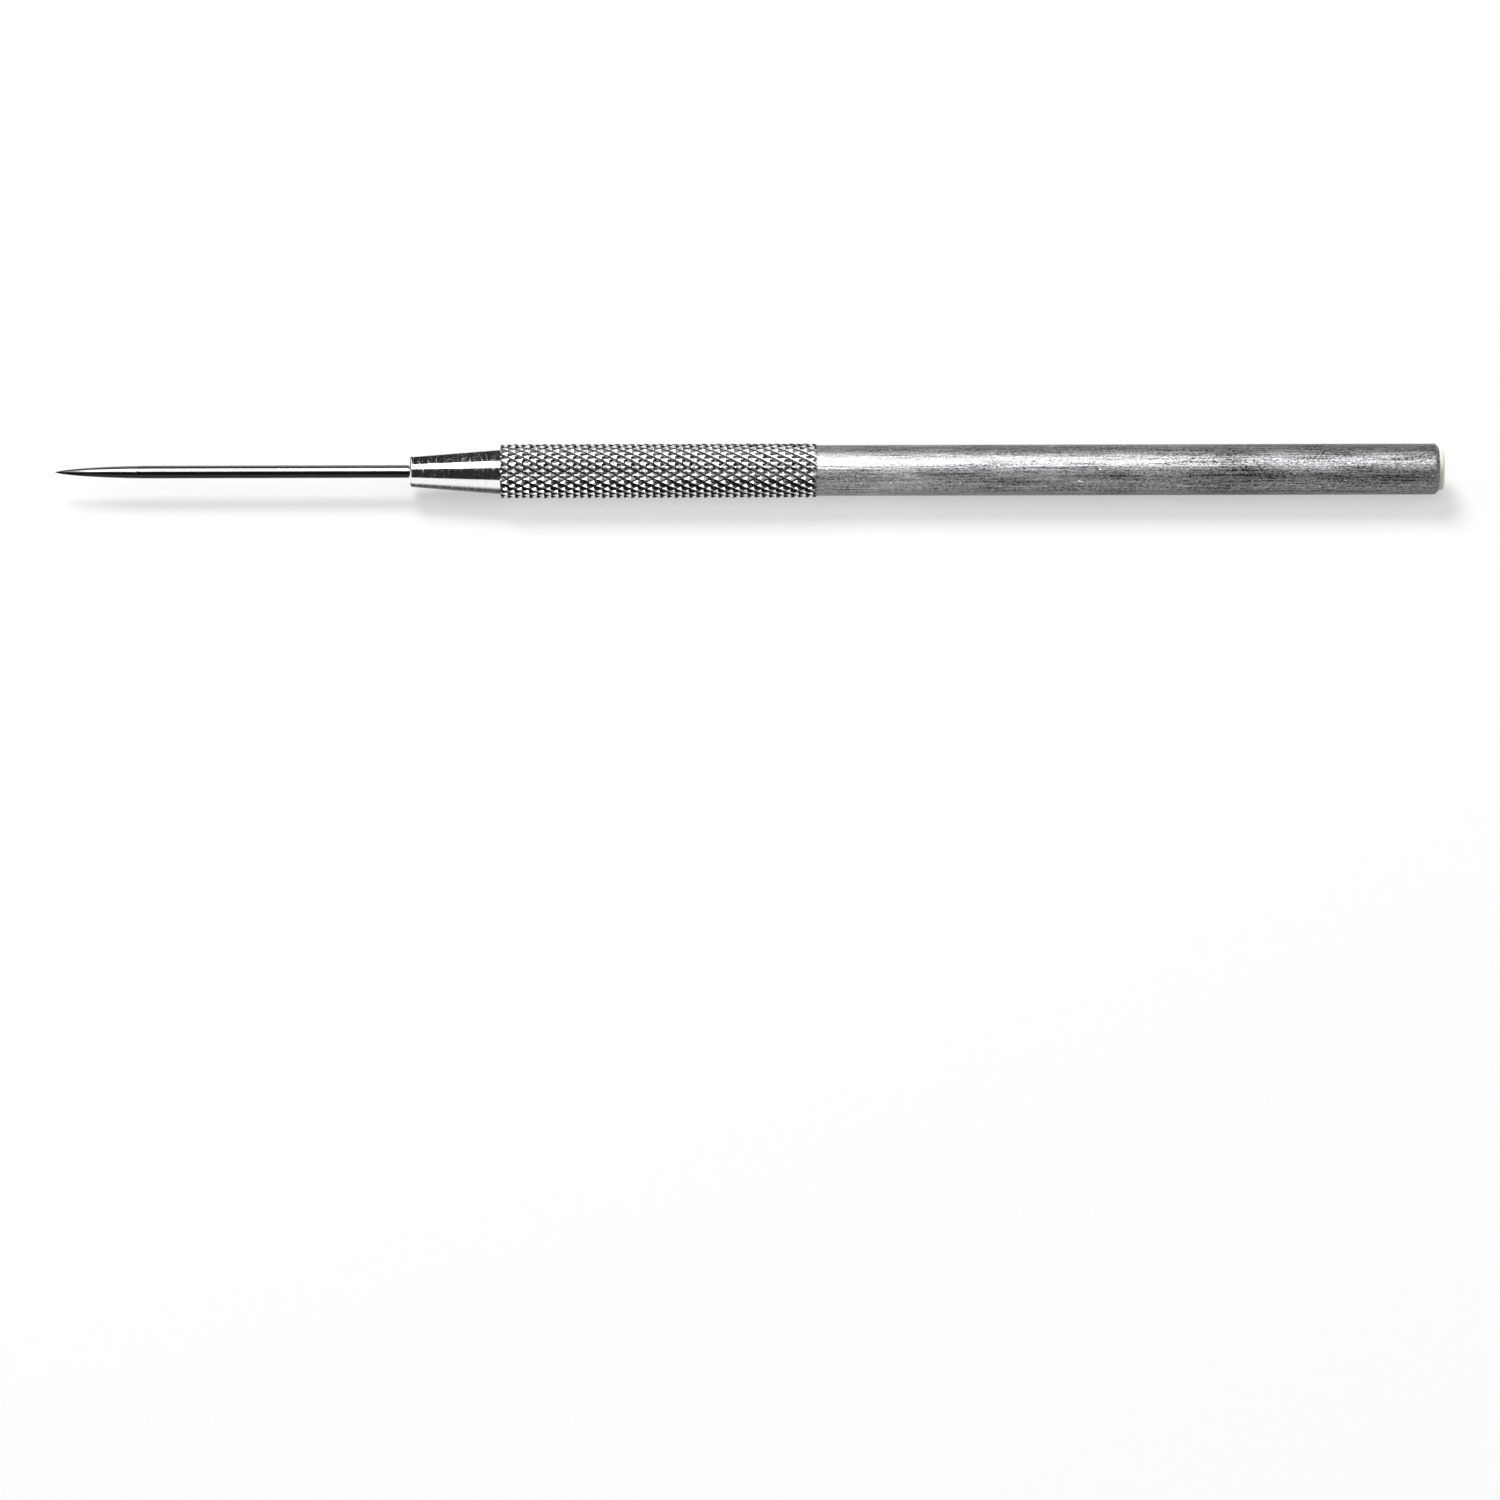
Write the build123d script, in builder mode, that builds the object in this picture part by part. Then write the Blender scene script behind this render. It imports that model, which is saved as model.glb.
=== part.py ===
"""A pottery needle tool: a ground steel needle held in a turned aluminium nose.

The nose is pressed into the front of a drawn aluminium tube. The front third of the tube is
diamond-knurled as a grip, the rest is plain, and a pale nylon plug closes the back end.
The tool lies along X with its point at -X, on the floor at Z = 0, and the origin is under
the middle of its length. All sizes are in millimetres.
"""

import os
from math import cos, pi, radians, sin, tan

from build123d import *

# Needle
needle_diameter = 1.6
needle_reach = 44.3  # from the point to the face of the nose
needle_tail = 16.0  # length held inside the nose
needle_tail_chamfer = 0.25
needle_tail_diameter = 1.2  # the tail is ground down to its own size for the press fit
shoulder_gap = 0.15  # left between the tail's shoulder and the face of the nose
point_length = 12.5  # length of the ground point
point_fullness = 0.65  # 1 makes the ground curve a parabola, 0.5 a blunt ellipse
point_flat = 0.1  # diameter of the very tip
point_shares = (0.02, 0.08, 0.2, 0.4, 0.7)  # where the ground curve is fixed along its length

# Tube, from drawn stock
tube_diameter = 6.35
tube_wall = 0.89
tube_end_chamfer = 0.45
tube_bore_chamfer = 0.1
shank_length = 78.0  # plain stretch behind the grip

# Knurled grip at the front of the tube
grip_length = 39.0
knurl_starts = 20  # grooves of each hand
knurl_pitch = 1.815  # from crest to crest along the tool
knurl_raise = 0.225  # crests above the plain tube
knurl_depth = 0.3  # crests above the bottoms of the grooves
knurl_front_break = 0.1  # crests worn down at the front face
knurl_backing = 0.1  # overlap of the crests with the wall that they stand on

# Nose cone
nose_length = 11.3
nose_tip_wall = 1.13  # from the needle's width to the rim of the face
nose_step = 0.23  # height of the grooves' bottoms above the nose, where the two meet
nose_face_fillet = 0.3
nose_mouth_chamfer = 0.08
spigot_length = 14.0
spigot_chamfer = 0.4
spigot_groove_count = 2
spigot_groove_width = 1.2
spigot_groove_depth = 0.12
spigot_groove_spacing = 4.5
spigot_groove_setback = 3.2  # from the shoulder to the middle of the first groove
drill_clearance = 0.5  # beyond the end of the needle
drill_point_angle = 118.0

# End plug
plug_head_height = 0.65
plug_head_overlap = 0.32  # how far the head covers the end of the tube all round
plug_head_fillet = 0.35
plug_stem_length = 7.0
plug_stem_gap = 0.2  # between the stem and the bore
plug_stem_chamfer = 0.5
plug_rib_count = 3
plug_rib_crown = 0.25  # width of a rib where it grips the bore
plug_rib_lead = 0.6  # length of the slope that leads a rib in
plug_rib_spacing = 1.7
plug_rib_setback = 1.1  # from the head to the first rib
plug_core_wall = 0.9
plug_core_depth = 5.8

# Radii and places that follow
needle_radius = needle_diameter / 2
tail_radius = needle_tail_diameter / 2
tube_radius = tube_diameter / 2
bore_radius = tube_radius - tube_wall
crest_radius = tube_radius + knurl_raise
valley_radius = crest_radius - knurl_depth
wall_under_knurl_radius = valley_radius - knurl_backing
nose_tip_radius = needle_radius + nose_tip_wall
nose_base_radius = valley_radius - nose_step

nose_start = needle_reach
tube_start = nose_start + nose_length
grip_end = tube_start + grip_length
tube_end = grip_end + shank_length
tool_length = tube_end + plug_head_height

# Profiles are drawn as distance from the point against height above the tool's axis
side = Plane(origin=(-tool_length / 2, 0, crest_radius), x_dir=(1, 0, 0), z_dir=(0, -1, 0))
tool_axis = Axis((0, 0, crest_radius), (1, 0, 0))


def ground_radius(distance):
    """Radius of the ground point at a distance from its tip, full at point_length."""
    return needle_radius * (1 - (1 - distance / point_length) ** 2) ** point_fullness


def knurl_point(row, column):
    """Corner of the knurl's lattice.

    The grooves of both hands cross at every corner whose row and column add up to an even
    number, and a crest stands at every other corner.
    """
    is_crest = (row + column) % 2 == 1
    if row == knurl_rows:
        radius = wall_under_knurl_radius
    elif row == 0 and is_crest:
        radius = crest_radius - knurl_front_break
    else:
        radius = crest_radius if is_crest else valley_radius
    angle = pi * column / knurl_starts
    along = tube_start + row * knurl_row_length
    return side.from_local_coords((along, radius * cos(angle), radius * sin(angle)))


def knurl_band():
    """Closed skin of flat facets over the grip, four to each crest.

    Every cell of the lattice is cut along the groove that crosses it.
    """
    facets = []
    for row in range(knurl_rows):
        for column in range(2 * knurl_starts):
            near, far = knurl_point(row, column), knurl_point(row + 1, column + 1)
            ahead, beside = knurl_point(row + 1, column), knurl_point(row, column + 1)
            if (row + column) % 2 == 0:
                corners = (near, ahead, far), (near, far, beside)
            else:
                corners = (near, ahead, beside), (ahead, far, beside)
            facets += [Face(Wire.make_polygon(three)) for three in corners]
    for row in (0, knurl_rows):
        rim = [knurl_point(row, column) for column in range(2 * knurl_starts)]
        facets.append(Face(Wire.make_polygon(rim)))
    return Solid(Shell(facets))


# A whole number of rows fills the grip
knurl_rows = round(2 * grip_length / knurl_pitch)
knurl_row_length = grip_length / knurl_rows

os.makedirs("parts", exist_ok=True)

# Needle: a ground point, a plain shank and a thinner chamfered tail behind a shoulder
shoulder = nose_start - shoulder_gap
tail_end = nose_start + needle_tail
ground_curve = [(share * point_length, ground_radius(share * point_length)) for share in point_shares]
with BuildPart() as needle:
    with BuildSketch(side):
        with BuildLine():
            tip = Line((0, 0), (0, point_flat / 2))
            ground = Spline(tip @ 1, *ground_curve, (point_length, needle_radius))
            Polyline(
                ground @ 1,
                (shoulder, needle_radius),
                (shoulder, tail_radius),
                (tail_end - needle_tail_chamfer, tail_radius),
                (tail_end, tail_radius - needle_tail_chamfer),
                (tail_end, 0),
                tip @ 0,
            )
        make_face()
    revolve(axis=tool_axis)
needle.part.label = "needle"
export_step(needle.part, "parts/needle.step")

# Nose cone: its shoulder meets the tube, its grooved spigot is a press fit in the bore behind
# it, line to line, and it is drilled for the needle's tail, which is pressed in too
spigot_end = tube_start + spigot_length
seat_end = tail_end + drill_clearance
drill_tip = seat_end + tail_radius / tan(radians(drill_point_angle / 2))
with BuildPart() as nose_cone:
    with BuildSketch(side):
        with BuildLine():
            Polyline(
                (nose_start, 0),
                (nose_start, nose_tip_radius),
                (tube_start, nose_base_radius),
                (tube_start, bore_radius),
                (spigot_end - spigot_chamfer, bore_radius),
                (spigot_end, bore_radius - spigot_chamfer),
                (spigot_end, 0),
                close=True,
            )
        make_face()
    revolve(axis=tool_axis)
    face_rim = nose_cone.edges().filter_by(GeomType.CIRCLE).sort_by(Axis.X)[0]
    fillet(face_rim, nose_face_fillet)
    with BuildSketch(side):
        for groove in range(spigot_groove_count):
            middle = tube_start + spigot_groove_setback + groove * spigot_groove_spacing
            with Locations((middle, bore_radius)):
                Rectangle(spigot_groove_width, 2 * spigot_groove_depth)
    revolve(axis=tool_axis, mode=Mode.SUBTRACT)
    with BuildSketch(side):
        with BuildLine():
            Polyline(
                (nose_start, 0),
                (nose_start, tail_radius + nose_mouth_chamfer),
                (nose_start + nose_mouth_chamfer, tail_radius),
                (seat_end, tail_radius),
                (drill_tip, 0),
                close=True,
            )
        make_face()
    revolve(axis=tool_axis, mode=Mode.SUBTRACT)
nose_cone.part.label = "nose_cone"
export_step(nose_cone.part, "parts/nose_cone.step")

# Handle tube: the crests stand on a slightly thinner wall, which widens to the plain
# shank over the last row, so that the knurl runs out there
with BuildPart() as handle_tube:
    with BuildSketch(side):
        with BuildLine():
            Polyline(
                (tube_start, 0),
                (tube_start, wall_under_knurl_radius),
                (grip_end - knurl_row_length, wall_under_knurl_radius),
                (grip_end, tube_radius),
                (tube_end - tube_end_chamfer, tube_radius),
                (tube_end, tube_radius - tube_end_chamfer),
                (tube_end, 0),
                close=True,
            )
        make_face()
    revolve(axis=tool_axis)
    add(knurl_band())
    with BuildSketch(side):
        with BuildLine():
            Polyline(
                (tube_start, 0),
                (tube_start, bore_radius + tube_bore_chamfer),
                (tube_start + tube_bore_chamfer, bore_radius),
                (tube_end - tube_bore_chamfer, bore_radius),
                (tube_end, bore_radius + tube_bore_chamfer),
                (tube_end, 0),
                close=True,
            )
        make_face()
    revolve(axis=tool_axis, mode=Mode.SUBTRACT)
handle_tube.part.label = "handle_tube"
export_step(handle_tube.part, "parts/handle_tube.step")

# End plug: a thin rounded head on the tube's end, and a cored stem whose ribs are as wide as
# the bore and grip it
plug_head_radius = bore_radius + plug_head_overlap
plug_stem_radius = bore_radius - plug_stem_gap
plug_stem_end = tube_end - plug_stem_length
with BuildPart() as end_plug:
    with BuildSketch(side):
        with BuildLine():
            Polyline(
                (plug_stem_end, 0),
                (plug_stem_end, plug_stem_radius - plug_stem_chamfer),
                (plug_stem_end + plug_stem_chamfer, plug_stem_radius),
                (tube_end, plug_stem_radius),
                (tube_end, plug_head_radius),
                (tool_length, plug_head_radius),
                (tool_length, 0),
                close=True,
            )
        make_face()
        for rib in range(plug_rib_count):
            rib_start = tube_end - plug_rib_setback - rib * plug_rib_spacing
            rib_crown_end = rib_start - plug_rib_crown
            with BuildLine():
                Polyline(
                    (rib_start, 0),
                    (rib_start, bore_radius),
                    (rib_crown_end, bore_radius),
                    (rib_crown_end - plug_rib_lead, plug_stem_radius),
                    (rib_crown_end - plug_rib_lead, 0),
                    close=True,
                )
            make_face()
    revolve(axis=tool_axis)
    head_rim = end_plug.edges().filter_by(GeomType.CIRCLE).sort_by(Axis.X)[-1]
    fillet(head_rim, plug_head_fillet)
    with BuildSketch(Plane(origin=side.from_local_coords((plug_stem_end, 0)), z_dir=(1, 0, 0))):
        Circle(plug_stem_radius - plug_core_wall)
    extrude(amount=plug_core_depth, mode=Mode.SUBTRACT)
end_plug.part.label = "end_plug"
export_step(end_plug.part, "parts/end_plug.step")

print("overall length", tool_length, "over the crests", 2 * crest_radius)
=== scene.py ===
# %% [markdown]
# # A pottery needle tool
#
# The object is a slim metal tool, 173 mm long: a ground steel needle is pressed into a turned
# aluminium nose, the nose into a drawn aluminium tube with a diamond-knurled grip, and a pale
# nylon plug closes the back. It lies on a pale floor with its point to the left. Nothing on it
# moves. First the solid model of the tool is loaded. Its four parts give the places and the
# outer sizes of the pieces below, so these needn't be fitted by eye.

# %% Load the solid model
from math import atan2, cos, pi, radians, sin, tan

import bpy
import numpy as np
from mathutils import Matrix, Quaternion, Vector


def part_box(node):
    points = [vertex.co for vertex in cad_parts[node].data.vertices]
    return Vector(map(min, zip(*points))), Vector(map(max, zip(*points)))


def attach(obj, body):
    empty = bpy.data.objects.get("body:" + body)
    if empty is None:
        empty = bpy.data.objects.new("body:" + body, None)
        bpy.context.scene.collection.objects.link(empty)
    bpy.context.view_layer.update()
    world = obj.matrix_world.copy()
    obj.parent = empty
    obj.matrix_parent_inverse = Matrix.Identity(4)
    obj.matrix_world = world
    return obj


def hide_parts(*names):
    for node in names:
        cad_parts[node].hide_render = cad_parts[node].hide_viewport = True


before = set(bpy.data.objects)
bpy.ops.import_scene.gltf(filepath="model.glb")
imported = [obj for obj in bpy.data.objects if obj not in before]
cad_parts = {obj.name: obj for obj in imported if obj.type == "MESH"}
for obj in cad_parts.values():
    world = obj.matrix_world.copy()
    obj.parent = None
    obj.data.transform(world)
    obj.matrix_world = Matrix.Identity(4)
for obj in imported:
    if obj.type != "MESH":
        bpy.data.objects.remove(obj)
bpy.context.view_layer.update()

MM = 0.001

# %% [markdown]
# The tool was turned about one line, its axis, which is parallel to X. The corners of each
# part's box say where the part starts and ends along that line and how thick it is. Sizes that
# no box shows, such as the wall of the tube, are written out in millimetres, as a maker would
# note them on a drawing.

# %% Places along the tool, in metres
needle_box, nose_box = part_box("needle"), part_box("nose_cone")
tube_box, plug_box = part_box("handle_tube"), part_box("end_plug")

AXIS_HEIGHT = (tube_box[0].z + tube_box[1].z) / 2
TIP, NEEDLE_END = needle_box[0].x, needle_box[1].x
NOSE_FACE, SPIGOT_END = nose_box[0].x, nose_box[1].x
TUBE_START, TUBE_END = tube_box[0].x, tube_box[1].x
STEM_START, BUTT = plug_box[0].x, plug_box[1].x
CREST = (tube_box[1].z - tube_box[0].z) / 2
NEEDLE = (needle_box[1].z - needle_box[0].z) / 2
SHANK, BORE = 3.175 * MM, 2.285 * MM
GRIP_LENGTH = 39 * MM
GRIP_END = TUBE_START + GRIP_LENGTH
print("grip from", round(TUBE_START / MM, 2), "to", round(GRIP_END / MM, 2), "mm, crests at radius",
      round(CREST / MM, 2))

# %% [markdown]
# Every piece was turned, drawn or moulded round, so it is a line carried round the tool's axis.
# A Screw modifier could do that, but not for the knurl, whose radius changes with the angle as
# well. So each piece is one skin of faces laid out as a grid: rows follow the line along the
# tool and columns go once round the axis. Where the line ends on the axis the grid is closed by
# a single point. A tube has no such end, so its last row joins its first. Working on whole
# arrays keeps this quick, and a closed skin with its faces outwards is what a printer or a
# simulator needs.

# %% Skin of a turned piece
def turned(name, along, radius, columns, sharp=30):
    """A closed skin round the tool's axis.

    The point in row i and column j has the angle a = 2 pi j / columns and lies at
    (along, -radius sin a, axis height + radius cos a). `along` and `radius` are given per row, or
    per row and column. A first and last row of radius zero become single points. Otherwise the
    last row is joined to the first. Edges bent by more than `sharp` degrees stay crisp.
    """
    along, radius = np.atleast_2d(along), np.atleast_2d(radius)
    if along.shape[0] == 1:
        along, radius = along.T, radius.T
    poles = float(np.max(radius[0])) == 0
    ends = along[[0, -1], 0]
    if poles:
        along, radius = along[1:-1], radius[1:-1]
    angle = 2 * pi * np.arange(columns) / columns
    along, radius, angle = np.broadcast_arrays(along, radius, angle[None, :])
    points = np.stack([along, -radius * np.sin(angle), AXIS_HEIGHT + radius * np.cos(angle)], -1)
    rows = len(points)
    index = np.arange(rows * columns).reshape(rows, columns)
    index = np.concatenate([index, index[:, :1]], 1)
    if not poles:
        index = np.concatenate([index, index[:1]], 0)
    quads = np.stack([index[:-1, :-1], index[:-1, 1:], index[1:, 1:], index[1:, :-1]], -1)
    faces = quads.reshape(-1, 4).tolist()
    vertices = points.reshape(-1, 3)
    if poles:
        first, last = len(vertices), len(vertices) + 1
        vertices = np.vstack([vertices, [[end, 0, AXIS_HEIGHT] for end in ends]])
        near = np.stack([np.full(columns, first), index[0, 1:], index[0, :-1]], -1)
        far = np.stack([index[-1, :-1], index[-1, 1:], np.full(columns, last)], -1)
        faces += near.tolist() + far.tolist()
    mesh = bpy.data.meshes.new(name)
    mesh.from_pydata(vertices.tolist(), [], faces)
    mesh.shade_smooth()
    mesh.set_sharp_from_angle(angle=radians(sharp))
    piece = bpy.data.objects.new(name, mesh)
    bpy.context.scene.collection.objects.link(piece)
    print(name, len(mesh.vertices), "points,", sum(len(f) - 2 for f in faces), "triangles")
    return piece


def path(*corners):
    """Joins lines of (along, radius) points, each an array of shape (n, 2), end to end."""
    return np.vstack([np.atleast_2d(corner) for corner in corners]).T


def run(start, end, steps):
    """Points spaced evenly from `start` to `end`, both (along, radius), the last one left out."""
    share = np.linspace(0, 1, steps, endpoint=False)[:, None]
    return np.array(start) + share * (np.array(end) - np.array(start))


def rounded(centre, size, start, end, steps=6):
    """Part of a circle about `centre`: (x + size cos t, r + size sin t), t in degrees."""
    t = np.radians(np.linspace(start, end, steps + 1))
    return np.stack([centre[0] + size * np.cos(t), centre[1] + size * np.sin(t)], -1)


# %% [markdown]
# The materials are written as sums. On the real tool a finish is a mixture of things that were
# done to the metal one after the other: drawn, turned, rolled, handled. So each of these is a
# mask or a noise, and the finish adds and multiplies them. A small class lets a socket of a node
# be used like a number, and every sign of arithmetic adds the Math node that does it.

# %% Arithmetic on sockets
class Value:
    """A shader socket that can be added, subtracted, multiplied and divided."""

    def __init__(self, finish, socket):
        self.finish, self.socket = finish, socket

    def math(self, operation, *others, first=None):
        """Adds a Math node on this value and the others."""
        terms = [self, *others] if first is None else [first, self, *others]
        return self.finish.node("Math", {"operation": operation}, dict(enumerate(terms)))

    def __add__(self, other):
        return self.math("ADD", other)

    __radd__ = __add__

    def __sub__(self, other):
        return self.math("SUBTRACT", other)

    def __rsub__(self, other):
        return self.math("SUBTRACT", first=other)

    def __mul__(self, other):
        return self.math("MULTIPLY", other)

    __rmul__ = __mul__

    def __truediv__(self, other):
        return self.math("DIVIDE", other)

    def __rtruediv__(self, other):
        return self.math("DIVIDE", first=other)


class Finish:
    """A material, or the light of a world, whose nodes are added one call at a time."""

    def __init__(self, name, world=None):
        self.holder = world or bpy.data.materials.new(name)
        self.holder.use_nodes = True
        self.tree = self.holder.node_tree
        self.tree.nodes.clear()

    def node(self, kind, settings=None, values=None, output=0):
        """Adds a node of a kind, sets it up, then fills its sockets with values or links."""
        node = self.tree.nodes.new("ShaderNode" + kind)
        for name, setting in (settings or {}).items():
            setattr(node, name, setting)
        for name, value in (values or {}).items():
            if isinstance(value, Value):
                self.tree.links.new(value.socket, node.inputs[name])
            else:
                node.inputs[name].default_value = value
        return Value(self, node.outputs[output]) if node.outputs else None

    def place(self):
        """The point's own coordinates: along the tool, across it, and above its axis."""
        spot = self.node("TexCoord", output="Object")
        split = [self.node("SeparateXYZ", values={0: spot}, output=n) for n in range(3)]
        return split[0], split[1], split[2] - AXIS_HEIGHT

    def stretched(self, scale, detail=2.0, roughness=0.5):
        """Noise from 0 to 1 with its own scale, in steps per metre, along X, Y and Z."""
        spot = self.node("TexCoord", output="Object")
        scaled = self.node("VectorMath", {"operation": "MULTIPLY"}, {0: spot, 1: scale})
        values = {"Vector": scaled, "Scale": 1.0, "Detail": detail, "Roughness": roughness}
        return self.node("TexNoise", values=values)

    def step(self, value, low, high):
        """0 below `low`, 1 above `high` and an eased rise between."""
        settings = {"interpolation_type": "SMOOTHSTEP"}
        return self.node("MapRange", settings, {0: value, 1: low, 2: high, 3: 0.0, 4: 1.0})

    def mix(self, share, first, second):
        """A colour between two others."""
        values = {0: share, 6: (*first, 1), 7: (*second, 1)}
        return self.node("Mix", {"data_type": "RGBA"}, values, output=2)

    def surface(self, height, distance, **sockets):
        """Closes the material with a Principled shader and a bump of a height."""
        values = {name.replace("_", " "): value for name, value in sockets.items()}
        bump = {"Strength": 1.0, "Distance": distance, "Height": height}
        values["Normal"] = self.node("Bump", values=bump)
        return self.close(self.node("BsdfPrincipled", values=values))

    def close(self, shader, output="OutputMaterial"):
        """Links a shader to the output of the material or the world."""
        self.node(output, values={0: shader})
        print(self.holder.name, "is made of", len(self.tree.nodes), "nodes")
        return self.holder


BLACK, WHITE = (0, 0, 0), (1.0, 1.0, 1.0)
print("finishes can be mixed")

# %% [markdown]
# The needle is steel wire, 1.6 mm thick, ground to a long rounded point. The grinding stops
# about 10 mm behind the tip, where it leaves a slight step and a small nick. A plain cone would
# do for the point, but it would mirror one flat band, so its radius follows the fuller curve of
# the solid model, with a wave of a few thousandths for the flats of the grinding wheel. The
# tail, thinner and hidden in the nose, is made too, because the piece is a whole needle and not
# a front for the camera.

# %% Needle
POINT_LENGTH, POINT_FULLNESS, POINT_FLAT = 12.5 * MM, 0.65, 0.05 * MM
STEP_PLACE, STEP_WIDTH, STEP_DEPTH = 10.3 * MM, 0.12 * MM, 0.012 * MM
STEP_EDGE = 0.15 * STEP_WIDTH
NICK_ANGLE, NICK_SPREAD, NICK_DEPTH = radians(70), 0.5, 0.035 * MM
FLATS, FLATS_TWIST, FLATS_SHARE = 5, 900, 0.006
SHOULDER_GAP, TAIL, TAIL_CHAMFER = 0.15 * MM, 0.6 * MM, 0.25 * MM
NEEDLE_COLUMNS, TIP_ROWS, POINT_ROWS, SHANK_ROWS, TAIL_ROWS = 72, 70, 190, 30, 12
TIP_REACH = 0.75


def ground_radius(distance, angle):
    """R (1 - (1 - d/L)^2)^f, less the flats of the wheel, the step of the grinding and a nick.

    d is the distance from the tip, L the length of the point and f its fullness. The flats are
    a wave in the angle, which twists with d and fades where the grinding ends.
    """
    share = np.clip(distance / POINT_LENGTH, 0, 1)
    full = NEEDLE * (1 - (1 - share) ** 2) ** POINT_FULLNESS
    ground = 1 / (1 + np.exp((distance - STEP_PLACE) / STEP_EDGE))
    wave = FLATS_SHARE * np.sin(FLATS * angle + FLATS_TWIST * distance) * share * ground
    dent = np.exp(-(((distance - STEP_PLACE) / STEP_WIDTH) ** 2))
    side = np.exp(-(((angle - NICK_ANGLE) / NICK_SPREAD) ** 2))
    radius = full * (1 + wave) - STEP_DEPTH * ground * share - NICK_DEPTH * dent * side
    return np.clip(radius, POINT_FLAT, NEEDLE)


turn = 2 * pi * np.arange(NEEDLE_COLUMNS) / NEEDLE_COLUMNS
near_tip = POINT_LENGTH * np.linspace(0, TIP_REACH, TIP_ROWS) ** 2
behind = np.linspace(near_tip[-1], POINT_LENGTH, POINT_ROWS)[1:]
distance = np.concatenate([near_tip, behind])[:, None]
shoulder = NOSE_FACE - SHOULDER_GAP
rest_along, rest_radius = path(
    run((TIP + POINT_LENGTH + MM, NEEDLE), (shoulder, NEEDLE), SHANK_ROWS),
    (shoulder, NEEDLE),
    run((shoulder, TAIL), (NEEDLE_END - TAIL_CHAMFER, TAIL), TAIL_ROWS),
    (NEEDLE_END - TAIL_CHAMFER, TAIL),
    (NEEDLE_END, TAIL - TAIL_CHAMFER),
    (NEEDLE_END, 0),
)


def spread(rows, columns):
    """The same value in every column of a row, for rows that are round."""
    return np.broadcast_to(np.reshape(rows, (-1, 1)), (np.size(rows), columns))


along = np.vstack([spread(part, NEEDLE_COLUMNS) for part in (TIP, TIP + distance, rest_along)])
radius = np.vstack([
    spread(0, NEEDLE_COLUMNS),
    ground_radius(distance, turn[None, :]),
    spread(rest_radius, NEEDLE_COLUMNS),
])
needle = turned("ground_needle", along, radius, NEEDLE_COLUMNS, sharp=50)

# %% [markdown]
# The nose is turned from aluminium bar. The lathe tool leaves a fine thread of rings on the
# cone, and one ring about two thirds back is deeper, where the tool stood still. All of them
# could be shape, but the fine ones would take thousands of rows, so only the deep ring and the
# rounded rim of the face are shape, and the fine rings come with the material. Behind the cone
# is the spigot, with two grooves, that is pressed into the tube.

# %% Nose
NOSE_TIP, NOSE_BASE, CONE_END = 1.93 * MM, 2.87 * MM, TUBE_START
RIM, MOUTH, SPIGOT_CHAMFER = 0.3 * MM, 0.08 * MM, 0.4 * MM
GROOVES, GROOVE_WIDTH, GROOVE_DEPTH = (3.2 * MM, 7.7 * MM), 1.2 * MM, 0.12 * MM
RING_PLACE, RING_WIDTH, RING_DEPTH = NOSE_FACE + 7.2 * MM, 0.05 * MM, 0.005 * MM
DRILL_CLEARANCE, DRILL_HALF_ANGLE = 0.5 * MM, radians(59)
CONE_ROWS = 340

slope = atan2(NOSE_BASE - NOSE_TIP, CONE_END - NOSE_FACE)
rim_centre = (NOSE_FACE + RIM, NOSE_TIP + RIM * tan(slope) - RIM / cos(slope))
cone_start = (rim_centre[0] - RIM * sin(slope), rim_centre[1] + RIM * cos(slope))
rim = rounded(rim_centre, RIM, 180, 90 + np.degrees(slope), 8)
cone_along = np.linspace(cone_start[0], CONE_END, CONE_ROWS)[1:]
cone_radius = NOSE_TIP + (cone_along - NOSE_FACE) * tan(slope)
cone_radius -= RING_DEPTH * np.exp(-(((cone_along - RING_PLACE) / RING_WIDTH) ** 2))
seat_end = NEEDLE_END + DRILL_CLEARANCE
spigot = [[CONE_END, BORE]]
for place in GROOVES:
    low, high = CONE_END + place - GROOVE_WIDTH / 2, CONE_END + place + GROOVE_WIDTH / 2
    spigot += [[low, BORE], [low, BORE - GROOVE_DEPTH], [high, BORE - GROOVE_DEPTH], [high, BORE]]
nose_along, nose_radius = path(
    (seat_end + TAIL / tan(DRILL_HALF_ANGLE), 0),
    run((seat_end, TAIL), (NOSE_FACE + MOUTH, TAIL), 8),
    (NOSE_FACE + MOUTH, TAIL),
    (NOSE_FACE, TAIL + MOUTH),
    rim,
    np.stack([cone_along, cone_radius], -1),
    np.array(spigot),
    (SPIGOT_END - SPIGOT_CHAMFER, BORE),
    (SPIGOT_END, BORE - SPIGOT_CHAMFER),
    (SPIGOT_END, 0),
)
nose = turned("turned_nose", nose_along, nose_radius, columns=128)

# %% [markdown]
# The grip's diamond knurl is rolled in by two wheels, whose ridges press two families of
# grooves into the tube, twenty of each hand. Where they cross, the metal between them stands up
# as small four-sided crests. A bump texture could draw them, but not the toothed outline, so
# they are shape: the height of the metal at a place is the smaller of two waves, one for each
# family, nothing in a groove and most half-way between two grooves of both. Rolled metal is
# never quite even. One wheel presses less deeply than the other, by a tenth at the nose and a
# quarter at the back, which joins the crests into slanting ridges. The grooves have round
# bottoms, and a crest that was not filled has a flat top with a shallow crater, most of all
# near the nose. Each crest gets its own filling and lean from a seeded table, so that it is the
# same in every render. The knurl ends half a row behind the grip of the solid model.

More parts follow.
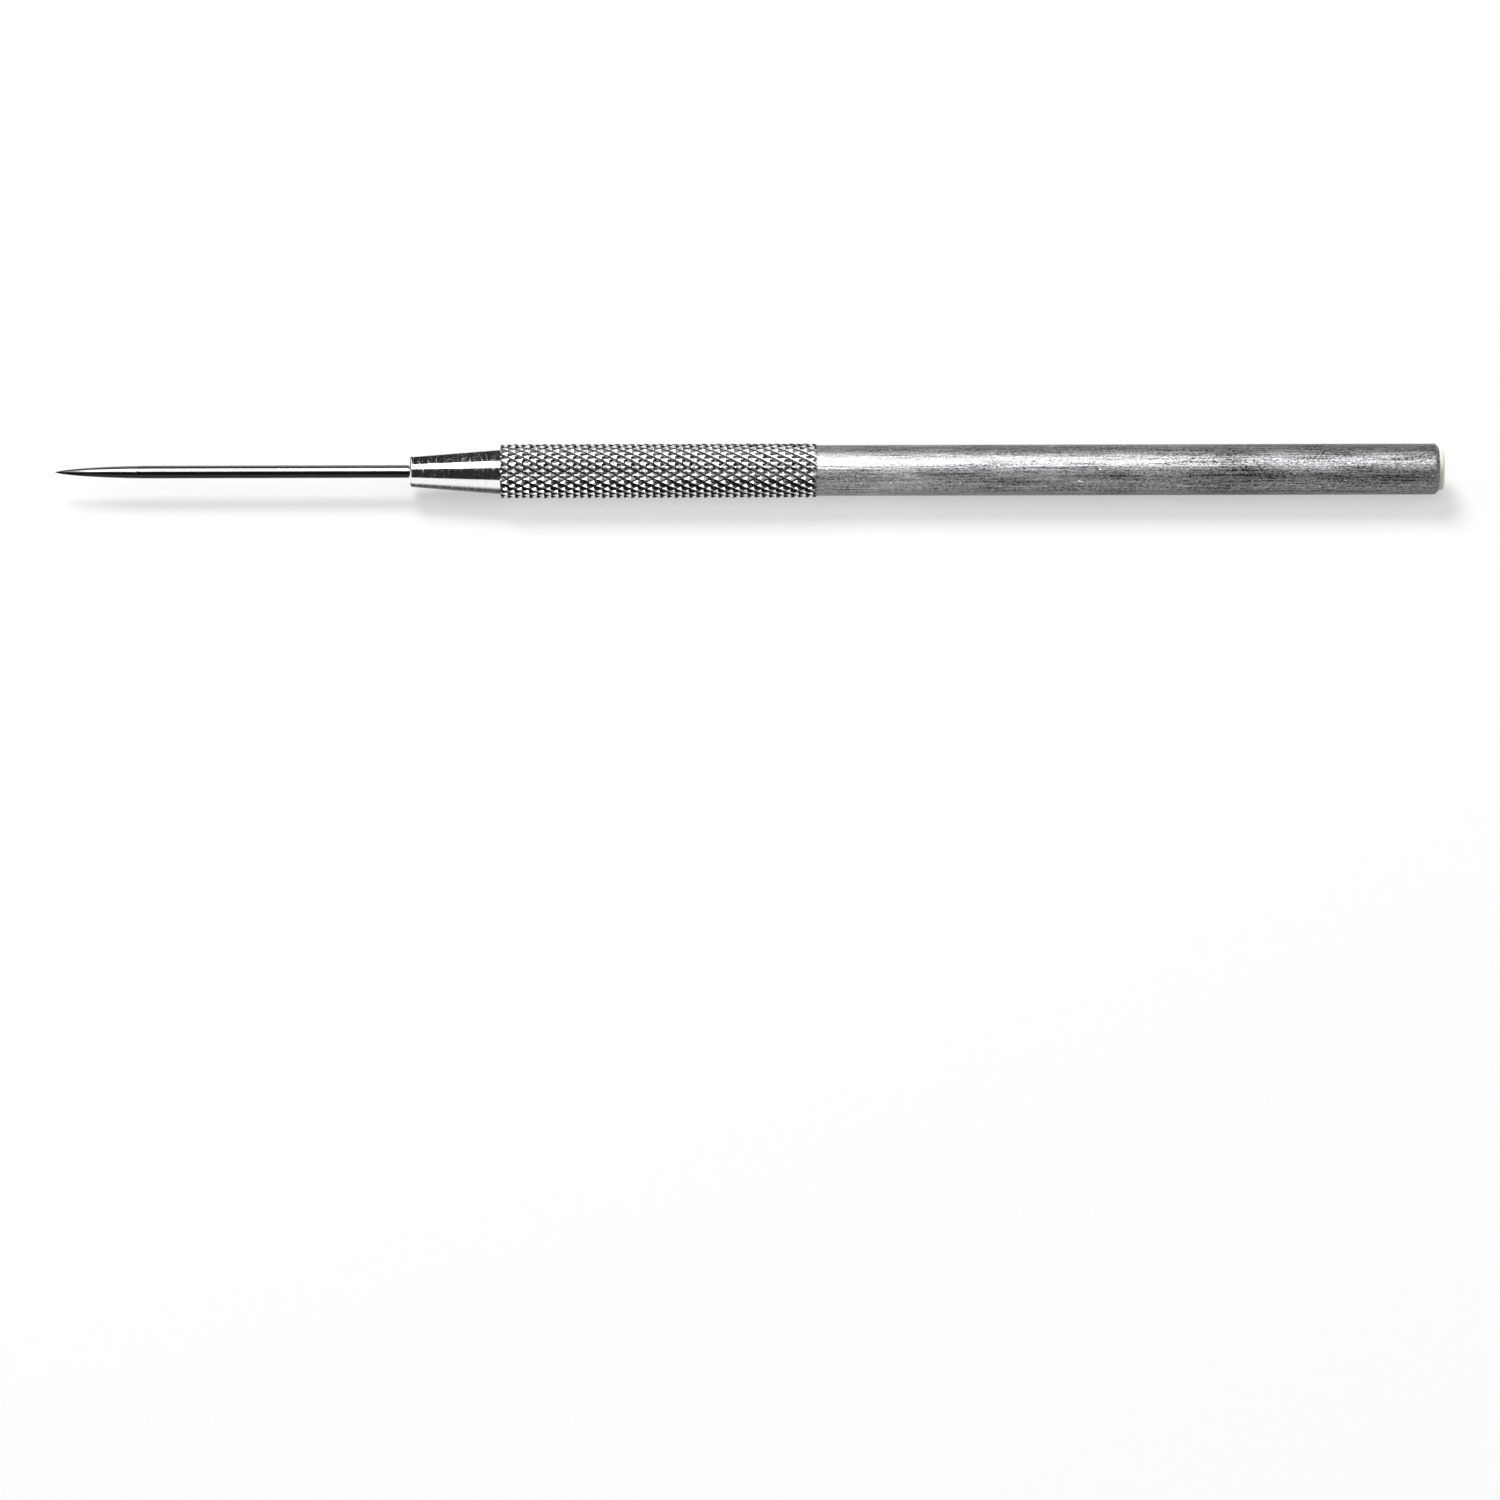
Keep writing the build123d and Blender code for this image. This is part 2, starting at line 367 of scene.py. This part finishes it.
# %% Height of the knurl
STARTS, ROWS, PITCH = 20, 43, GRIP_LENGTH / 43
DIVISIONS = 7  # faces to a row and to a column
RUN_OUT = ROWS + 4 / DIVISIONS  # row where the knurl ends
VALLEY = 3.1 * MM
GROOVE_ROUNDING = 0.03
LESS_DEEP_FRONT, LESS_DEEP_BACK = 0.1, 0.26  # of the first family
FLAT, FLAT_LOSS = 0.84, 0.06  # height of a flat top, and how much lower it is at the nose
CRATER, CRATER_GAIN = 0.25, 0.35  # share that a top sinks again, and how much more at the nose
NOSE_ROWS = 9  # rows over which the nose's end differs
UNEVENNESS = 0.04
rng = np.random.default_rng(12)
filling = rng.normal(0, UNEVENNESS, (ROWS + 2, 2 * STARTS))
lean = rng.normal(0, UNEVENNESS, (ROWS + 2, 2 * STARTS, 2))


def knurl_height(row, column):
    """Height from 0 to 1 at a row and column of the lattice, whole numbers at its corners.

    The two waves are triangular, of (row + column) / 2 and (row - column) / 2, zero at whole
    numbers. The first is raised to s + (1 - s) wave, where s says how much less deep its groove
    is. Their smaller, m, is rounded at the bottom as sqrt(m^2 + e^2) - e, and above the filling
    of its own crest it drops again into a crater.
    """
    first, second = (row + column) / 2, (row - column) / 2
    cell_first, cell_second = np.floor(first).astype(int), np.floor(second).astype(int)
    crest_row = np.clip(cell_first + cell_second + 1, 0, ROWS + 1)
    crest_column = (cell_first - cell_second) % (2 * STARTS)
    leaning = lean[crest_row, crest_column]
    wave_first = 1 - np.abs(2 * (first - cell_first) - 1)
    wave_second = 1 - np.abs(2 * (second - cell_second) - 1)
    less_deep = LESS_DEEP_FRONT + (LESS_DEEP_BACK - LESS_DEEP_FRONT) * row / ROWS
    wave_first = (less_deep + (1 - less_deep) * wave_first) * (1 + leaning[..., 0])
    wave_second = wave_second * (1 + leaning[..., 1])
    low = np.minimum(wave_first, wave_second)
    low = np.sqrt(low ** 2 + GROOVE_ROUNDING ** 2) - GROOVE_ROUNDING
    low = low / (np.sqrt(1 + GROOVE_ROUNDING ** 2) - GROOVE_ROUNDING)
    towards_nose = np.exp(-row / NOSE_ROWS)
    full = FLAT - FLAT_LOSS * towards_nose + filling[crest_row, crest_column]
    crater = CRATER + CRATER_GAIN * towards_nose
    return np.minimum(low, full) - crater * np.maximum(low - full, 0)


BROKEN_SHARE, BROKEN_ROWS = 0.35, 0.22  # what the front edge has lost, and over how many rows
FADE_ROWS, WIDENING_ROWS, WIDENING_CURVE = 0.3, 0.7, 1.5  # at the back
TOP = 0.97  # share of the crests' full radius that a flat top reaches


def grip_radius(row, column):
    """Radius of the grip: valley plus height, broken at the front edge and run out at the back.

    At the end of the knurl the height fades evenly to nothing, while the wall under it widens
    to the plain shank as a power of the share of the way.
    """
    height = knurl_height(row, column)
    front = 1 - BROKEN_SHARE * np.exp(-((row / BROKEN_ROWS) ** 2))
    back = np.clip((RUN_OUT - row) / FADE_ROWS, 0, 1)
    widening = np.clip((row - RUN_OUT + WIDENING_ROWS) / WIDENING_ROWS, 0, 1) ** WIDENING_CURVE
    low = VALLEY + (SHANK - VALLEY) * widening
    return low + (CREST - low) * np.clip(TOP / FLAT * height * front * back, 0, 1)


grip_rows = np.arange(round(RUN_OUT * DIVISIONS) + 1) / DIVISIONS
grip_columns = np.arange(2 * STARTS * DIVISIONS) / DIVISIONS
grip = grip_radius(grip_rows[:, None], grip_columns[None, :])
print("grip radius from", round(grip.min() / MM, 3), "to", round(grip.max() / MM, 3), "mm")

# %% [markdown]
# The rest of the tube is plain drawn stock. It could be a second cylinder behind the grip, but
# that would leave a seam. So its rows carry on from the grip's to the chamfered end and come
# back through the bore: the tube has a true wall, and its skin is one with the knurl's, as
# rolled metal is. The chamfer is slightly round, as handling leaves it.

# %% Tube
END_CHAMFER, CHAMFER_CROWN, BORE_CHAMFER = 0.45 * MM, 0.4, 0.1 * MM
plain_start = TUBE_START + (RUN_OUT + 1 / DIVISIONS) * PITCH
plain_along, plain_radius = path(
    run((plain_start, SHANK), (TUBE_END - END_CHAMFER, SHANK), 24),
    (TUBE_END - END_CHAMFER, SHANK),
    (TUBE_END - END_CHAMFER / 2, SHANK - END_CHAMFER * CHAMFER_CROWN),
    (TUBE_END, SHANK - END_CHAMFER),
    (TUBE_END, BORE + BORE_CHAMFER),
    (TUBE_END - BORE_CHAMFER, BORE),
    (TUBE_START + BORE_CHAMFER, BORE),
    (TUBE_START, BORE + BORE_CHAMFER),
)
columns = len(grip_columns)
along = spread(np.concatenate([TUBE_START + grip_rows * PITCH, plain_along]), columns)
radius = np.vstack([grip, spread(plain_radius, columns)])
tube = turned("knurled_tube", along, radius, columns, sharp=28)

# %% [markdown]
# The plug is moulded in natural nylon. Only its thin rounded head shows, and a disc would look
# the same, but a plug that can be printed needs its stem, which is cored and has three ribs
# that grip the bore. The head's face is very slightly hollow, as a thick moulding sinks when it
# cools.

# %% Plug
HEAD, HEAD_ROUND, HEAD_SINK = 2.605 * MM, 0.35 * MM, 0.05 * MM
STEM, STEM_CHAMFER, CORE, CORE_DEPTH = 2.085 * MM, 0.5 * MM, 1.185 * MM, 5.8 * MM
RIBS, RIB_FIRST, RIB_SPACING, RIB_CROWN, RIB_LEAD = 3, 1.1 * MM, 1.7 * MM, 0.25 * MM, 0.6 * MM
ribs = []
for rib in reversed(range(RIBS)):
    back = TUBE_END - RIB_FIRST - rib * RIB_SPACING
    front = back - RIB_CROWN
    ribs += [[front - RIB_LEAD, STEM], [front, BORE], [back, BORE], [back, STEM]]
sink = np.linspace(HEAD - HEAD_ROUND, 0, 9)[1:]
dish = BUTT - HEAD_SINK * (1 - (sink / (HEAD - HEAD_ROUND)) ** 2) ** 2
plug_along, plug_radius = path(
    (STEM_START + CORE_DEPTH, 0),
    (STEM_START + CORE_DEPTH, CORE),
    (STEM_START, CORE),
    (STEM_START, STEM - STEM_CHAMFER),
    (STEM_START + STEM_CHAMFER, STEM),
    np.array(ribs),
    (TUBE_END, STEM),
    (TUBE_END, HEAD),
    rounded((BUTT - HEAD_ROUND, HEAD - HEAD_ROUND), HEAD_ROUND, 90, 0, 8),
    np.stack([dish, sink], -1),
)
plug = turned("end_plug_moulding", plug_along, plug_radius, columns=96)

# %% [markdown]
# The needle's steel is polished until it mirrors the room. In a dark room it would look black
# wherever it mirrors nothing bright, but here it lies on a white floor, and steel of its true
# colour would mirror that too. So its colour is written far darker than steel is, and lamps of
# its own, further down, give it its white band. Fine scratches of the wheel run round the point,
# and tiny specks of dirt and rust make it duller in places. The very tip is darker still, a
# painted shade that makes the point look black.

# %% Ground and polished steel
STEEL_TONE, TIP_PAINTED_SHADE = 0.024, 0.7
GROUND_TO, GROUND_FADE = TIP + 10.0 * MM, 0.4 * MM
DARK_TO, DARK_FADE = TIP + 2.0 * MM, 3.0 * MM

steel = Finish("ground_steel")
x, _, _ = steel.place()
on_point = 1 - steel.step(x, GROUND_TO, GROUND_TO + GROUND_FADE)
# Painted shade: the first millimetres of the point are darkened so that it looks black.
painted_tip_shade = 1 - steel.step(x, DARK_TO, DARK_TO + DARK_FADE)
rings = steel.stretched((14000, 300, 300), detail=3)
cloud = steel.stretched((260, 900, 900), detail=3)
specks = steel.step(steel.stretched((2600, 2600, 2600), detail=1), 0.72, 0.76)
tone = (STEEL_TONE + 0.01 * cloud + 0.025 * specks) * (1 - TIP_PAINTED_SHADE * painted_tip_shade)
needle_material = steel.surface(
    height=rings * on_point + 0.4 * cloud - 0.3 * specks,
    distance=0.0008 * MM,
    Base_Color=steel.mix(tone, BLACK, (1.0, 0.99, 0.97)),
    Roughness=0.17 + 0.05 * cloud + 0.05 * on_point * rings + 0.1 * specks,
    Metallic=1.0,
)

# %% [markdown]
# The turned finish of the nose is bright metal with rings so fine that they blur what it
# mirrors along the tool, but not round it. An anisotropic shader could blur it, but the rings
# would not be seen one by one. So a noise squeezed along X gives them: it changes every tenth
# of a millimetre along the tool and hardly at all round it. A rounder noise adds the specks
# where a chip was dragged over the surface. The cone's colour is darkened along its lower side,
# a painted shade for the shaded floor under the tool that it mirrors there. The top of its rim
# is darkened too, a painted shade, and a ring of dirt round the needle is darker as well. These
# are in the colour, placed by the tool's own coordinates and alike on its near and far side, so
# they stay put in every view.

# %% Turned aluminium
NOSE_TONE = 0.84
UNDERSIDE_PAINTED_SHADE, DIRT_AND_SHADE_DARKENING = 0.93, 0.82
DIRT_FROM, DIRT_TO = 1.1 * MM, 1.5 * MM
FACE_FROM, FACE_TO = NOSE_FACE + 0.15 * MM, NOSE_FACE + 0.4 * MM

turning = Finish("turned_aluminium")
x, y, z = turning.place()
fine = turning.stretched((11000, 60, 60), detail=2)
coarse = turning.stretched((3000, 90, 90), detail=2)
drag = turning.step(turning.stretched((7000, 2600, 2600), detail=2), 0.66, 0.72)
ticks = turning.step(turning.stretched((9000, 450, 450), detail=2), 0.52, 0.68)
out = (y * y + z * z).math("SQRT")
# Masks of painted shade: the cone's lower side, and the top of its rim.
painted_underside_shade = turning.step(0 - z / out, -0.05, 0.2)
painted_shade_on_top = turning.step(z / out, 0.65, 0.9)
by_needle = 1 - turning.step(out, DIRT_FROM, DIRT_TO)
at_face = 1 - turning.step(x, FACE_FROM, FACE_TO)
# The rim's top is darkened as painted shade; the ring round the needle is dirt.
dirt_and_painted_shade = at_face * painted_shade_on_top.math("MAXIMUM", by_needle)
tone = NOSE_TONE + 0.12 * fine - 0.25 * drag
# Painted shade darkens the cone's lower side; the next factor darkens the rim's top (painted shade)
# and the ring round the needle (dirt).
tone = tone * (1 - (UNDERSIDE_PAINTED_SHADE - 0.2 * ticks) * painted_underside_shade) * (1 - DIRT_AND_SHADE_DARKENING * dirt_and_painted_shade)
nose_material = turning.surface(
    height=0.5 * fine + coarse + 1.4 * drag,
    distance=0.003 * MM,
    Base_Color=turning.mix(tone, BLACK, WHITE),
    Roughness=0.04 + 0.04 * coarse + 0.1 * drag + 0.17 * ticks,
    Metallic=1.0,
)

# %% [markdown]
# Drawn tube has fine lines along its length from the die, and this one is dulled by handling,
# with dark streaks, a few pits and a nick, and small bright spots that are painted highlights.
# The rolled grip is the same metal. Two materials would need a seam between them, so one holds
# both, because it is one piece of metal.
# First come the masks: the place along the tool tells the grip from the shank, the distance
# from the axis tells a crest from a groove, which is dark from dirt and painted shade, and the
# way that the surface faces tells which facets look at the point. All of them belong to the
# tool, not to the camera.

# %% Masks on the tube
drawing = Finish("drawn_aluminium")
x, y, z = drawing.place()
around = (0 - y).math("ARCTAN2", z)
out = (y * y + z * z).math("SQRT")
on_grip = 1 - drawing.step(x, GRIP_END, GRIP_END + 0.6 * MM)
# Painted shade: the shank's colour darkens towards the butt.
painted_shade_towards_butt = drawing.step(x, 8 * MM, 62 * MM)
knurl_share = (out - VALLEY) / (CREST - VALLEY)
# Grooves are dark from dirt and painted shade; crests are bright from wear and a painted highlight.
above_dirt_and_shade = drawing.step(knurl_share, 0.03, 0.3)
on_crest = drawing.step(knurl_share, 0.7, 0.92)
facing = drawing.node("SeparateXYZ", values={0: drawing.node("TexCoord", output="Normal")})
# Masks for a painted highlight on point-facing facets and a painted reflection of the floor below.
towards_point = drawing.step(0 - facing, -0.03, 0.06)
low_side = drawing.step(0 - z / out, -0.05, 0.35)
print("the grip's finish fades out from", round(GRIP_END / MM, 2), "mm")

# %% [markdown]
# The marks of drawing and handling are noises. Each is stretched along the tool as far as its
# mark is long: the lines of the die run on, a streak is a centimetre or so, and a pit is round.
# A few scores are longer and straighter than a noise can make them, so each is a band of its
# own, given by its start and end along the tool, its angle round it and its width.

# %% Marks on the shank
SCORES = (  # from and to in millimetres, angle and width in radians
    (36, 64, 1.01, 0.03),
    (67, 84, 1.0, 0.05),
    (52, 80, 0.82, 0.03),
    (12, 30, 0.93, 0.02),
)
NICK = (13.5, 21.5, 0.03, 0.02)
SCORE_FADE = 2.5 * MM


def mark(start, end, angle, width):
    """A line along the tool from start to end, in mm, at an angle round it, with soft edges."""
    begun = drawing.step(x, start * MM, start * MM + SCORE_FADE)
    ended = drawing.step(x, end * MM - SCORE_FADE, end * MM)
    off = (around - angle).math("ABSOLUTE")
    return begun * (1 - ended) * (1 - drawing.step(off, 0.3 * width, width))


lines = drawing.stretched((140, 5200, 5200), detail=3, roughness=0.6)
streaks = drawing.stretched((70, 1700, 1700), detail=4, roughness=0.65)
grain = drawing.stretched((3000, 6500, 6500), detail=3, roughness=0.7)
patches = drawing.stretched((90, 350, 350), detail=3, roughness=0.6)
dark_streaks = drawing.step(streaks, 0.54, 0.66)
pits = drawing.step(drawing.stretched((2300, 2800, 2800), detail=0), 0.76, 0.8)
# Painted highlight: small bright spots in the colour and the bump.
painted_glints = drawing.step(drawing.stretched((1500, 3500, 3500), detail=0), 0.84, 0.86)
first, *others = [mark(*score) for score in SCORES]
scores = sum(others, first)
nick = mark(*NICK)
print(len(SCORES), "scores and a nick on the shank")

# %% [markdown]
# Now the masks are added up. The shank is a grey that the marks darken or lighten, and painted
# shade darkens it towards the butt. On the grip a groove is dark, from dirt and painted shade, a
# flank brighter and a crest brightest, from wear and a painted highlight. A bright facet of real
# knurling mirrors the lit side of the room. Here the facets that look at the point are written
# brighter, a painted highlight, most of all on the grip's lower side, where this is a painted
# reflection of the floor, all that they mirror there. As with the needle, most of these colours
# are darker than bare aluminium is, because the floor is white.

# %% Drawn and rolled aluminium
SHANK_TONE, BUTT_PAINTED_SHADE = 0.26, 0.09
GROOVE_TONE, FLANK_TONE, FACING_PAINTED_HIGHLIGHT, CREST_GAIN = 0.005, 0.065, 0.13, 0.36
LOW_FACET_PAINTED_REFLECTION, DARKEST = 0.85, 0.008

shank_tone = SHANK_TONE + 0.5 * (lines - 0.5) + 0.9 * (grain - 0.5) + 0.3 * (patches - 0.5)
# The darkening towards the butt is painted shade.
shank_tone = shank_tone - BUTT_PAINTED_SHADE * painted_shade_towards_butt - 0.07 * dark_streaks - 0.06 * pits
# The bright spots added here are painted highlights.
shank_tone = shank_tone + 0.5 * painted_glints - 0.05 * scores
# Painted highlight on the facets that face the point, and on the lower side a painted reflection of
# the floor.
flank = (FLANK_TONE + FACING_PAINTED_HIGHLIGHT * towards_point) * above_dirt_and_shade
grip_tone = (flank + CREST_GAIN * on_crest) * (1 - low_side)
grip_tone = grip_tone + LOW_FACET_PAINTED_REFLECTION * towards_point * low_side
grip_tone = GROOVE_TONE + grip_tone + 0.3 * (grain - 0.5)
tone = (shank_tone + (grip_tone - shank_tone) * on_grip).math("MAXIMUM", DARKEST)
relief = 0.6 * lines + 0.6 * grain - 0.8 * pits - 0.5 * dark_streaks + painted_glints - 2.5 * nick
roughness = 0.28 + 0.12 * grain + 0.12 * patches - (0.25 - 0.1 * on_crest) * on_grip
tube_material = drawing.surface(
    height=relief * (1 - 0.7 * on_grip),
    distance=0.02 * MM,
    Base_Color=drawing.mix(tone, BLACK, (1.0, 1.0, 1.01)),
    Roughness=roughness,
    Metallic=1.0,
)

# %% [markdown]
# Natural nylon is a warm off-white and matt. Light scattered inside it could be added, but the
# head is too small for that to show, so a faint mottle and a fine grain from the mould are
# enough to keep it from looking like paint.

# %% Nylon
nylon = Finish("natural_nylon")
mottle = nylon.stretched((700, 700, 700), detail=3)
mould_grain = nylon.stretched((5200, 5200, 5200), detail=2)
plug_material = nylon.surface(
    height=mould_grain,
    distance=0.004 * MM,
    Base_Color=nylon.mix(mottle, (0.86, 0.83, 0.72), (0.9, 0.88, 0.8)),
    Roughness=0.5 + 0.12 * mould_grain,
)

# %% [markdown]
# Each finished piece takes its material, rides on the tool's one body, and stands for its part
# of the solid model, which is then not shown.

# %% Dress the solid model
for piece, node, slot, material in (
    (needle, "needle", "needle_steel", needle_material),
    (nose, "nose_cone", "nose_aluminium", nose_material),
    (tube, "handle_tube", "tube_aluminium", tube_material),
    (plug, "end_plug", "plug_nylon", plug_material),
):
    piece.data.materials.append(material)
    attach(piece, "root")
    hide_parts(node)
    print(piece.name, "stands for", node)

# %% [markdown]
# The tool lies on a wide pale floor. Near the tool the floor is a matt surface that takes the
# shadow, with a glow that only the camera, mirrors and glass see, so it comes out white without
# more light on the tool. Further out the glow takes over. A plain white floor would need bright
# lamps, and these would burn out the pale plug.

# %% Floor
FLOOR_SIZE, FLOOR_COLOUR, FLOOR_GLOW = 9.0, 0.44, 0.49
FAR_FROM, FAR_TO, FAR_COLOUR = 0.3, 1.2, 0.02

ground = Finish("pale_floor")
x, y, _ = ground.place()
far = ground.step((x * x + y * y).math("SQRT"), FAR_FROM, FAR_TO)
kinds = ("Camera", "Glossy", "Transmission")
rays = [ground.node("LightPath", output=f"Is {kind} Ray") for kind in kinds]
seen = rays[0].math("MAXIMUM", rays[1]).math("MAXIMUM", rays[2])
colour = ground.mix(far, (FLOOR_COLOUR,) * 3, (FAR_COLOUR,) * 3)
matt = ground.node("BsdfDiffuse", values={0: colour})
glow = ground.node("Emission", values={1: seen * (FLOOR_GLOW + (1 - FLOOR_GLOW) * far)})
floor_material = ground.close(ground.node("AddShader", values={0: matt, 1: glow}))
half = FLOOR_SIZE / 2
corners = [(-half, -half, 0), (half, -half, 0), (half, half, 0), (-half, half, 0)]
floor_mesh = bpy.data.meshes.new("floor")
floor_mesh.from_pydata(corners, [], [(0, 1, 2, 3)])
floor_mesh.materials.append(floor_material)
floor = bpy.data.objects.new("floor", floor_mesh)
bpy.context.scene.collection.objects.link(floor)
print("floor", FLOOR_SIZE, "m wide")

# %% [markdown]
# Metal is lit by what it mirrors. A picture of a studio could be wrapped round the scene, but
# then no lamp could be moved by itself, so every bright thing is a rectangle of its own that
# only shiny surfaces see. Round a cylinder a panel shows as a band, whose height on the metal
# follows the panel's elevation: 0 degrees is the front, 90 overhead and 180 the back. Panels far
# to the left light the knurl's facets that face the point. The dark needle has two bright panels
# that light nothing else, and the tube has two as well.

# %% A lamp and a mirror panel
PANEL_DISTANCE = 1.45


def panel(name, centre, size, brightness, aim=(0, 0, 0)):
    """A rectangular lamp of an even brightness, 1 being white, facing a point."""
    light = bpy.data.lights.new(name, "AREA")
    light.shape, (light.size, light.size_y) = "RECTANGLE", size
    light.energy = brightness * pi * size[0] * size[1]
    lamp = bpy.data.objects.new(name, light)
    lamp.location = centre
    lamp.rotation_euler = (Vector(aim) - Vector(centre)).to_track_quat("-Z", "Y").to_euler()
    lamp.visible_camera = False
    bpy.context.scene.collection.objects.link(lamp)
    print(name, "at", [round(v, 2) for v in centre])
    return lamp


def mirror_panel(name, left, right, low, high, brightness, seen_by=None):
    """A panel that only shiny surfaces see, from left to right in metres, low to high in degrees.

    Its middle lies at (side, -d cos e, d sin e), with d the distance and e the elevation. It is
    2 d tan(half its angle) high. If it is made for one piece, it lights no other.
    """
    side, elevation = (left + right) / 2, radians((low + high) / 2)
    centre = (side, -PANEL_DISTANCE * cos(elevation), PANEL_DISTANCE * sin(elevation))
    reach = 2 * PANEL_DISTANCE * tan(radians((high - low) / 2))
    lamp = panel(name, centre, (right - left, reach), brightness, (side, 0, 0))
    lamp.visible_diffuse = False
    if seen_by:
        lamp.light_linking.receiver_collection = bpy.data.collections.new(name)
        lamp.light_linking.receiver_collection.objects.link(seen_by)


# %% [markdown]
# The panels are listed with the ends that they reach. Matt things, the plug and the floor, see
# none of them. A wide even light from above brings these to their own colour, and a smaller
# lamp behind on the left throws the soft shadow forward and to the right.

# %% Lamps
for name, left, right, low, high, brightness, seen_by in (
    ("overhead_panel", -0.6, 0.32, 65, 98, 5.0, None),
    ("needle_panel", -0.58, 0.0, 58, 108, 56.0, needle),
    ("needle_back_panel", -0.7, 0.7, 152, 166, 9.0, needle),
    ("shank_panel", -0.3, -0.02, 66, 114, 9.0, tube),
    ("back_panel", -0.04, 0.2, 98, 138, 3.2, None),
    ("low_back_panel", 0.0, 0.4, 146, 174, 1.2, None),
    ("front_panel", 0.07, 0.42, 22, 62, 1.25, None),
    ("front_left_panel", -1.6, -0.64, -2, 72, 10.0, tube),
    ("high_left_panel", -1.6, -0.66, 74, 100, 4.5, None),
    ("back_left_panel", -1.6, -0.64, 104, 165, 4.5, None),
    ("high_right_panel", 0.5, 1.3, 72, 108, 5.5, None),
):
    mirror_panel(name, left, right, low, high, brightness, seen_by)
for name, centre, side, brightness in (
    ("shadow_lamp", (-0.45, 0.886, 1.22), 0.72, 14.8),
    ("even_light", (0.0, -0.3, 1.6), 1.6, 0.95),
):
    panel(name, centre, (side, side), brightness).visible_glossy = False

# %% [markdown]
# The room itself is nearly dark, which is what draws the black bands beside the white ones.
# Only its two end walls are pale. A wall is a part of the world's sphere here: where the
# direction's X is near 1 or -1, the world is bright.

# %% Room
ROOM_LIGHT, WALL_LIGHT, WALL_FROM, WALL_TO = 0.025, 1.1, 0.55, 0.75

walls = Finish("room", bpy.data.worlds.new("room"))
side = walls.node("SeparateXYZ", values={0: walls.node("TexCoord", output="Generated")})
end_walls = walls.step(side.math("ABSOLUTE"), WALL_FROM, WALL_TO)
strength = ROOM_LIGHT + WALL_LIGHT * end_walls
light = walls.node("Background", values={0: (*WHITE, 1), 1: strength})
bpy.context.scene.world = walls.close(light, "OutputWorld")
bpy.context.scene.view_settings.view_transform = "Standard"

# %% [markdown]
# The camera looks down on the tool from the front at 48 degrees, one metre away through a long
# lens, so the tool hardly tapers with distance. A camera without perspective would show no
# taper at all. It aims below the tool, which puts the tool in the upper half of the picture,
# and it is rolled by a seventh of a degree, as the tool lies in the picture.

# %% Camera
CAMERA_DISTANCE, CAMERA_ELEVATION, AIM_BELOW, ROLL = 1.0, radians(48), 0.03487, radians(-0.14)
FOCAL_LENGTH, SENSOR_WIDTH = 192.27, 36

lens = bpy.data.cameras.new("camera")
lens.lens, lens.sensor_width = FOCAL_LENGTH, SENSOR_WIDTH
lens.clip_start, lens.clip_end = 0.01, 20
camera = bpy.data.objects.new("camera", lens)
up = Vector((0, sin(CAMERA_ELEVATION), cos(CAMERA_ELEVATION)))
back = Vector((0, -cos(CAMERA_ELEVATION), sin(CAMERA_ELEVATION)))
aim = Vector((0, 0, AXIS_HEIGHT)) - AIM_BELOW * up
camera.location = aim + CAMERA_DISTANCE * back
camera.rotation_mode = "QUATERNION"
camera.rotation_quaternion = (-back).to_track_quat("-Z", "Y") @ Quaternion((0, 0, 1), ROLL)
bpy.context.scene.collection.objects.link(camera)
bpy.context.scene.camera = camera
print("camera at", [round(v, 3) for v in camera.location])

# %% [markdown]
# Last, the scene is brought up to date.

# %% Bring the scene up to date
bpy.context.view_layer.update()
